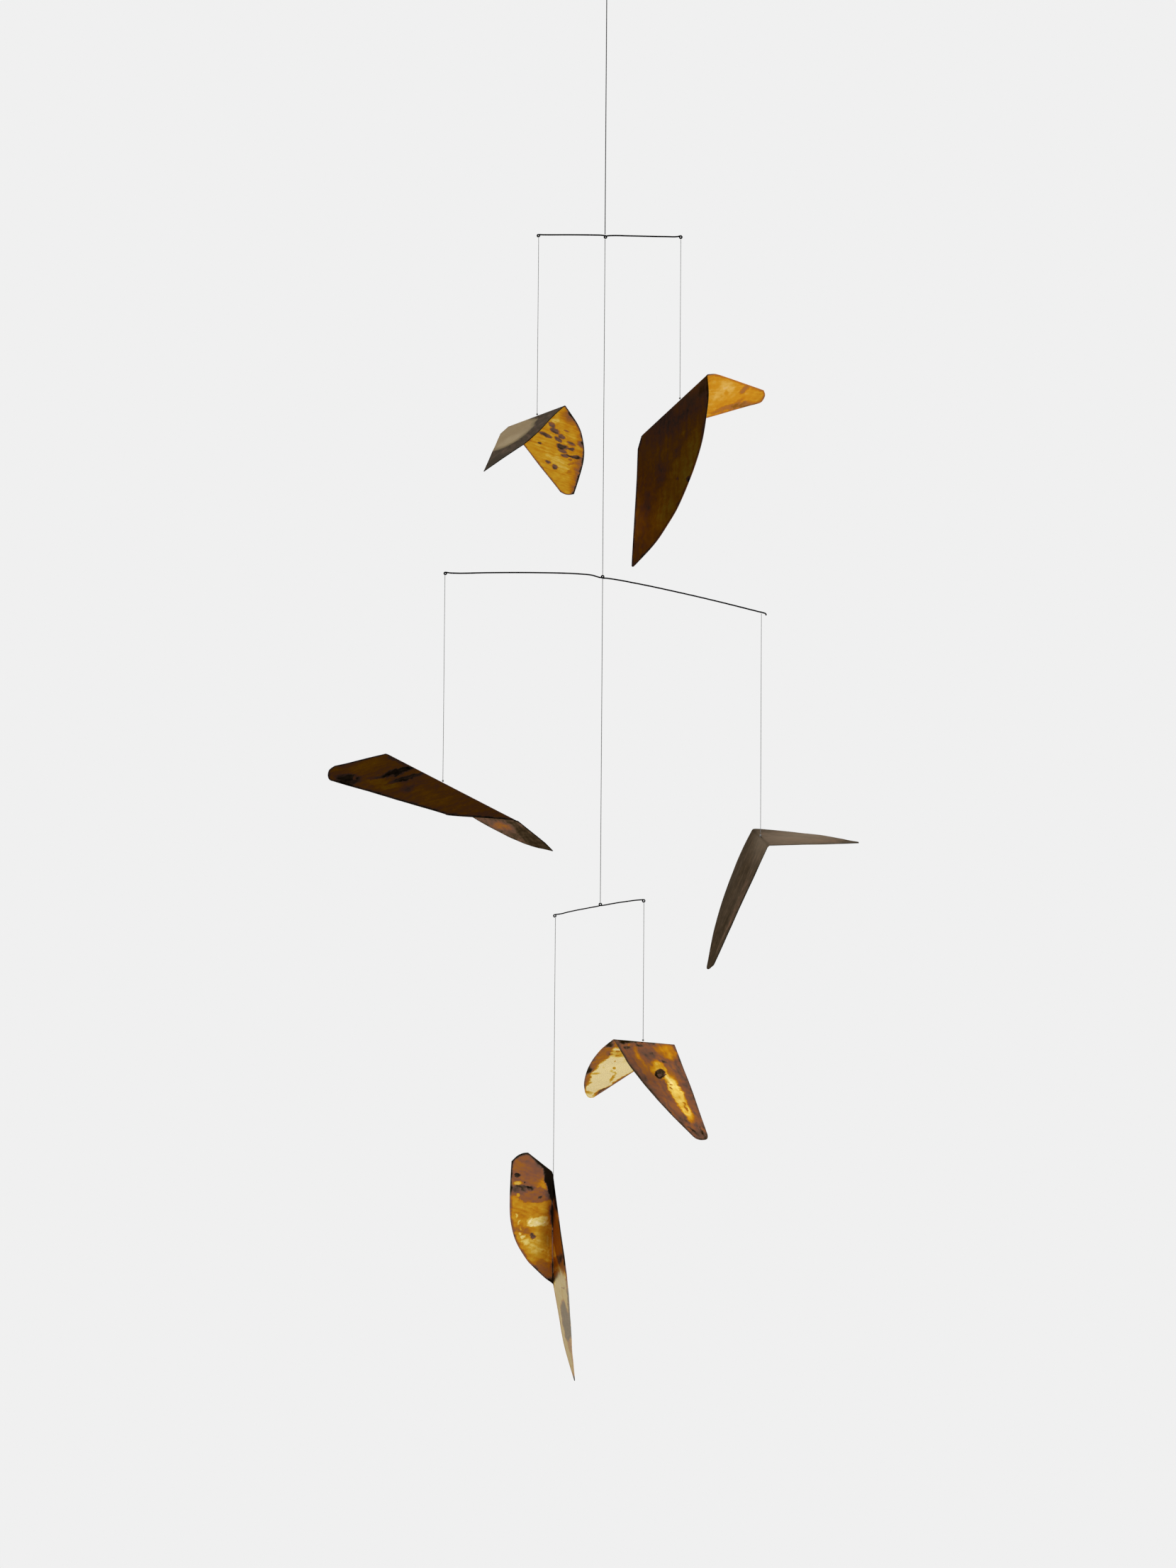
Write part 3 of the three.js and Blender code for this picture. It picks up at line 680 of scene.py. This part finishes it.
def torched_brass(name, leaf):
    material, tree, shader = new_material(f"torched_brass_{name}")
    blank = add(tree, "ShaderNodeAttribute", attribute_name="blank_mm").outputs["Vector"]
    rim_mm = add(tree, "ShaderNodeAttribute", attribute_name="rim_mm").outputs["Fac"]
    sideways = add(tree, "ShaderNodeSeparateXYZ", {0: blank}).outputs["Y"]
    on_wing_a = add(tree, "ShaderNodeMapRange", {"Value": sideways, "From Min": -0.6,
                                                 "From Max": 0.6}).outputs["Result"]

    # A flame front wanders a few millimetres, so every mark gets a torn edge.
    wander = add(tree, "ShaderNodeTexNoise", {"Vector": blank, "Scale": 1 / 24, "Detail": 6.0,
                                              "Roughness": 0.7})
    drift = add(tree, "ShaderNodeVectorMath", {0: wander.outputs["Color"], 1: (17, 17, 0),
                                               2: (-8.5, -8.5, 0)}, operation="MULTIPLY_ADD")
    place = add(tree, "ShaderNodeVectorMath", {0: blank, 1: drift.outputs[0]},
                operation="ADD").outputs[0]
    heats = [by_wing(tree, on_wing_a, leaf["base"])]
    for wing in "AB":
        heats += [flame_or_highlight_mark(tree, place, mark, wing) for mark in leaf["marks"][wing]]

    # Rims cool last and darken first, in a band of some 3 mm that comes and goes.
    patchy = add(tree, "ShaderNodeTexNoise", {"Vector": blank, "Scale": 1 / 9, "Detail": 3.0})
    reach = add(tree, "ShaderNodeMapRange", {"Value": patchy.outputs["Fac"], "From Min": 0.3,
                                             "From Max": 0.7, "To Min": 1.2, "To Max": 4.6})
    near_rim = add(tree, "ShaderNodeMapRange", {"Value": rim_mm, "From Min": 0,
                                                "From Max": reach.outputs["Result"],
                                                "To Min": 1, "To Max": 0},
                   interpolation_type="SMOOTHSTEP")
    heats.append(add(tree, "ShaderNodeMath", {0: near_rim.outputs["Result"],
                                              1: by_wing(tree, on_wing_a, leaf["rim"])},
                     operation="MULTIPLY").outputs[0])

    # Painted shade: the heat is raised in a straight line some 1.5 mm to each side of the fold, so
    # the fold line reads dark.
    from_fold = add(tree, "ShaderNodeMath", {0: sideways}, operation="ABSOLUTE")
    painted_crease_shade = add(tree, "ShaderNodeMapRange", {"Value": from_fold.outputs[0], "From Min": 0.9,
                                              "From Max": 2.0, "To Min": leaf["painted_crease_shade"],
                                              "To Max": 0}, interpolation_type="SMOOTHSTEP")
    heats.append(painted_crease_shade.outputs["Result"])

    # Streaks are about 50 mm long and 3 mm wide, along each wing's own flame path.
    streaks = []
    for wing, turn in zip("AB", leaf["streak"]):
        side = 1 if wing == "A" else -1
        drawn_out = add(tree, "ShaderNodeMapping", {
            "Vector": place, "Rotation": (0, 0, math.radians(side * turn)),
            "Scale": (50, 3.2, 10)}, vector_type="TEXTURE")
        streaks.append(add(tree, "ShaderNodeTexNoise", {"Vector": drawn_out.outputs[0],
                                                        "Scale": 1.0, "Detail": 2.0}))
    streak = add(tree, "ShaderNodeMix", {0: on_wing_a, 2: streaks[1].outputs["Fac"],
                                         3: streaks[0].outputs["Fac"]})
    heats.append(add(tree, "ShaderNodeMapRange", {"Value": streak.outputs[0], "From Min": 0.3,
                                                  "From Max": 0.7, "To Min": -0.07,
                                                  "To Max": 0.07}).outputs["Result"])

    # The oxide itself grows in blotches of about 7 mm with grain inside them.
    blotches = add(tree, "ShaderNodeTexNoise", {"Vector": blank, "Scale": 1 / 7, "Detail": 5.0,
                                                "Roughness": 0.5})
    heats.append(add(tree, "ShaderNodeMapRange", {"Value": blotches.outputs["Fac"],
                                                  "From Min": 0.3, "From Max": 0.7,
                                                  "To Min": -0.06, "To Max": 0.06}
                     ).outputs["Result"])

    heat = total(tree, *heats)
    ramp = add(tree, "ShaderNodeValToRGB", {"Fac": heat})
    stops = ramp.color_ramp.elements
    while len(stops) < len(HEAT_COLOURS):
        stops.new(0.5)
    for stop, (position, colour) in zip(stops, HEAT_COLOURS):
        stop.position = position
        stop.color = linear(colour)
    colour = ramp.outputs["Color"]
    if leaf["film"]:
        wing, tint, mark = leaf["film"]
        felt = flame_or_highlight_mark(tree, place, mark, wing)
        colour = add(tree, "ShaderNodeMix", {0: felt, 6: colour, 7: linear(tint)},
                     data_type="RGBA").outputs[2]

    # Real scale is a dust far under a millimetre; its grain is drawn 2 mm across to show.
    grain = add(tree, "ShaderNodeTexNoise", {"Vector": blank, "Scale": 1 / 2.2, "Detail": 2.0})
    scale_rough = add(tree, "ShaderNodeMapRange", {"Value": heat, "To Min": 0.27, "To Max": 0.46})
    grain_rough = add(tree, "ShaderNodeMapRange", {"Value": grain.outputs["Fac"],
                                                   "To Min": -0.03, "To Max": 0.03})
    rough = total(tree, scale_rough.outputs["Result"], grain_rough.outputs["Result"])
    soft_dents = add(tree, "ShaderNodeTexNoise", {"Vector": blank, "Scale": 1 / 9, "Detail": 0.0})
    dents = add(tree, "ShaderNodeBump", {"Height": soft_dents.outputs["Fac"], "Strength": 0.25,
                                         "Distance": 0.1 * MM})
    tree.links.new(colour, shader.inputs["Base Color"])
    tree.links.new(rough, shader.inputs["Roughness"])
    tree.links.new(dents.outputs[0], shader.inputs["Normal"])
    shader.inputs["Metallic"].default_value = 1.0
    shader.inputs["Specular Tint"].default_value = linear("#CFC2B4")
    print(material.name, "has", len(tree.nodes), "nodes")
    return material

# %% [markdown]
# A leaf starts as the drawn outline of its flat blank. It is a flat Bezier curve, made
# a mesh, whose loop is filled with one face. Bisecting that face every 3 mm both ways
# gives the sheet enough points to bend and to carry its two attributes. Then come a
# slight hand-cut waviness, the two wings turned down about the fold line, a fold
# rounded with a bevel, a 0.7 mm wall from Solidify, and a fine broken edge.

# %% Draw the blank
SHEET = 0.7 * MM
GRID = 3.0


def outline(runs):
    """Stops round one wing from fold end to fold end, each with its two curve handles."""
    stops = []
    for run in runs:
        corners = [Vector(corner) for corner in run]
        last = len(corners) - 1
        for k, here in enumerate(corners):
            reach = (corners[min(k + 1, last)] - corners[max(k - 1, 0)]) / 6
            if k == 0 and stops:
                stops[-1][2] = here + reach
            else:
                stops.append([here - reach, here, here + reach])
    return stops


def draw_blank(runs):
    """The flat sheet on the ground plane: wing A towards -Y, wing B towards +Y."""
    front, back = outline(runs[0]), outline(runs[1])
    for stop in front:
        for point in stop:
            point.y *= -1
    returning = [[stop[2], stop[1], stop[0]] for stop in reversed(back)]
    front[-1][2] = returning[0][2]
    front[0][0] = returning[-1][0]
    stops = front + returning[1:-1]
    bpy.ops.object.select_all(action="DESELECT")
    bpy.ops.curve.primitive_bezier_circle_add()
    drawing = bpy.context.object
    drawing.data.dimensions = "3D"
    drawing.data.resolution_u = 6
    bends = drawing.data.splines[0].bezier_points
    bends.add(len(stops) - len(bends))
    for bend, (left, here, right) in zip(bends, stops):
        bend.handle_left_type = bend.handle_right_type = "FREE"
        bend.co = (here * MM).to_3d()
        bend.handle_left = (left * MM).to_3d()
        bend.handle_right = (right * MM).to_3d()
    bpy.ops.object.convert(target="MESH")
    bpy.ops.object.mode_set(mode="EDIT")
    bpy.ops.mesh.select_all(action="SELECT")
    bpy.ops.mesh.remove_doubles(threshold=0.02 * MM)
    bpy.ops.mesh.edge_face_add()
    bpy.ops.mesh.normals_make_consistent(inside=False)
    bpy.ops.object.mode_set(mode="OBJECT")
    if drawing.data.polygons[0].normal.z < 0:
        drawing.data.flip_normals()
    return drawing


# %% Rule the blank and mark its places
def rule_blank(sheet):
    """Cuts the face every GRID mm both ways and writes blank_mm and rim_mm on its points."""
    rim = [point.co / MM for point in sheet.data.vertices]
    order = [sheet.data.loops[k].vertex_index for k in sheet.data.polygons[0].loop_indices]
    rim = [rim[k] for k in order]
    bpy.ops.object.mode_set(mode="EDIT")
    for axis, normal in ((0, (1, 0, 0)), (1, (0, 1, 0))):
        low = min(point[axis] for point in rim)
        high = max(point[axis] for point in rim)
        for k in range(math.floor(low / GRID) + 1, math.ceil(high / GRID)):
            bpy.ops.mesh.select_all(action="SELECT")
            bpy.ops.mesh.bisect(plane_co=[k * GRID * MM * n for n in normal], plane_no=normal)
    bpy.ops.object.mode_set(mode="OBJECT")
    places = sheet.data.attributes.new("blank_mm", "FLOAT_VECTOR", "POINT")
    for point, place in zip(sheet.data.vertices, places.data):
        place.vector = (point.co.x / MM, -point.co.y / MM, 0)
    distances = sheet.data.attributes.new("rim_mm", "FLOAT", "POINT")
    for point, distance in zip(sheet.data.vertices, distances.data):
        here = point.co / MM
        nearest = 1000
        for start, end in zip(rim, rim[1:] + rim[:1]):
            side = end - start
            along = max(0, min(1, (here - start).dot(side) / side.length_squared))
            nearest = min(nearest, (start + side * along - here).length)
        distance.value = nearest


# %% Fold the blank
def select_points(piece, wanted):
    """Selects the wanted points of the active piece, one yes or no each, in edit mode."""
    bpy.ops.object.mode_set(mode="EDIT")
    bpy.ops.mesh.select_mode(type="VERT")
    bpy.ops.mesh.select_all(action="DESELECT")
    bpy.ops.object.mode_set(mode="OBJECT")
    for point, chosen in zip(piece.data.vertices, wanted):
        point.select = chosen
    bpy.ops.object.mode_set(mode="EDIT")


def apply_modifier(piece, kind, **settings):
    modifier = piece.modifiers.new(kind.lower(), kind)
    for name, value in settings.items():
        setattr(modifier, name, value)
    bpy.ops.object.modifier_apply(modifier=modifier.name)


def fold_blank(sheet, leaf, waviness, length):
    stiff = sheet.vertex_groups.new(name="wings")
    for point in sheet.data.vertices:
        stiff.add([point.index], min(abs(point.co.y) / (28 * MM), 1) ** 1.5, "REPLACE")
    waves = bpy.data.textures.new("sheet_waves", "CLOUDS")
    waves.noise_scale = length * MM
    apply_modifier(sheet, "DISPLACE", texture=waves, strength=waviness * MM, mid_level=0.5,
                   direction="Z", vertex_group="wings")
    places = [tuple(mark.vector) for mark in sheet.data.attributes["blank_mm"].data]
    for side, turn in ((1, leaf["droop"][0]), (-1, leaf["droop"][1] - 180)):
        select_points(sheet, [side * v > 0.01 for u, v, _ in places])
        bpy.ops.transform.rotate(value=math.radians(-turn), orient_axis="X",
                                 center_override=(0, 0, 0))
        bpy.ops.object.mode_set(mode="OBJECT")
    select_points(sheet, [abs(v) < 0.01 and -0.01 < u < leaf["fold"] + 0.01
                          for u, v, _ in places])
    bpy.ops.mesh.bevel(offset=1.3 * MM, segments=3, affect="EDGES")
    bpy.ops.object.mode_set(mode="OBJECT")


# %% Hang each leaf
def make_leaf(name, leaf):
    sheet = draw_blank(leaf["runs"])
    rule_blank(sheet)
    fold_blank(sheet, leaf, waviness=2.4, length=70)
    apply_modifier(sheet, "SOLIDIFY", thickness=SHEET, offset=0)
    apply_modifier(sheet, "BEVEL", width=0.12 * MM, segments=1, limit_method="ANGLE",
                   angle_limit=math.radians(60))
    bpy.ops.object.shade_smooth_by_angle(angle=math.radians(40))
    bpy.ops.object.mode_set(mode="EDIT")
    bpy.ops.mesh.select_all(action="SELECT")
    bpy.ops.transform.translate(value=(-leaf["before"] * MM, 0, 0))
    bpy.ops.object.mode_set(mode="OBJECT")
    x, z = leaf["hang"]
    sheet.rotation_euler = (0, math.radians(-leaf["slope"]), math.radians(leaf["heading"]))
    sheet.location = Vector((x, 0, z)) * MM
    bpy.ops.object.transform_apply()
    finish_piece(sheet, f"brass_leaf_{name}", torched_brass(name, leaf),
                 f"leaf_{name}", f"leaf_{name}")
    print(sheet.name, "has", len(sheet.data.polygons), "faces")
    return sheet


for name, leaf in LEAVES.items():
    make_leaf(name, leaf)

# %% [markdown]
# Each thread is tied off in a small knot that sits on the fold. A knot this size is a
# few tight turns of the thread round itself, so it is one short coil of thread, made
# once and copied to every leaf.

# %% Tie the knots
def tie_first_knot():
    """Three tight turns of thread round the Z axis, drawn as a curve and made a mesh."""
    turns, stops = 3, 8
    bpy.ops.object.select_all(action="DESELECT")
    bpy.ops.curve.primitive_bezier_curve_add()
    knot = bpy.context.object
    knot.data.dimensions = "3D"
    bends = knot.data.splines[0].bezier_points
    bends.add(turns * stops + 1 - len(bends))
    for k, bend in enumerate(bends):
        around = math.tau * k / stops
        belly = 0.52 + 0.22 * math.sin(math.pi * k / (len(bends) - 1))
        bend.handle_left_type = bend.handle_right_type = "AUTO"
        bend.co = Vector((belly * math.cos(around), belly * math.sin(around),
                          0.8 + 1.5 * k / (len(bends) - 1))) * MM
    knot.data.bevel_depth = THREAD_DIAMETER / 2
    knot.data.bevel_resolution = 2
    knot.data.resolution_u = 3
    knot.data.use_fill_caps = True
    bpy.ops.object.convert(target="MESH")
    bpy.ops.object.shade_smooth()
    return knot


first_knot = tie_first_knot()
for name, leaf in LEAVES.items():
    bpy.ops.object.select_all(action="DESELECT")
    first_knot.select_set(True)
    bpy.context.view_layer.objects.active = first_knot
    bpy.ops.object.duplicate()
    knot = bpy.context.object
    x, z = leaf["hang"]
    bpy.ops.transform.translate(value=(x * MM, 0, z * MM))
    bpy.ops.object.transform_apply()
    knot.name = knot.data.name = f"thread_knot_{name}"
    knot.data.materials.append(nylon)
    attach(knot, f"leaf_{name}")
bpy.data.objects.remove(first_knot)
print("tied", len(LEAVES), "knots")
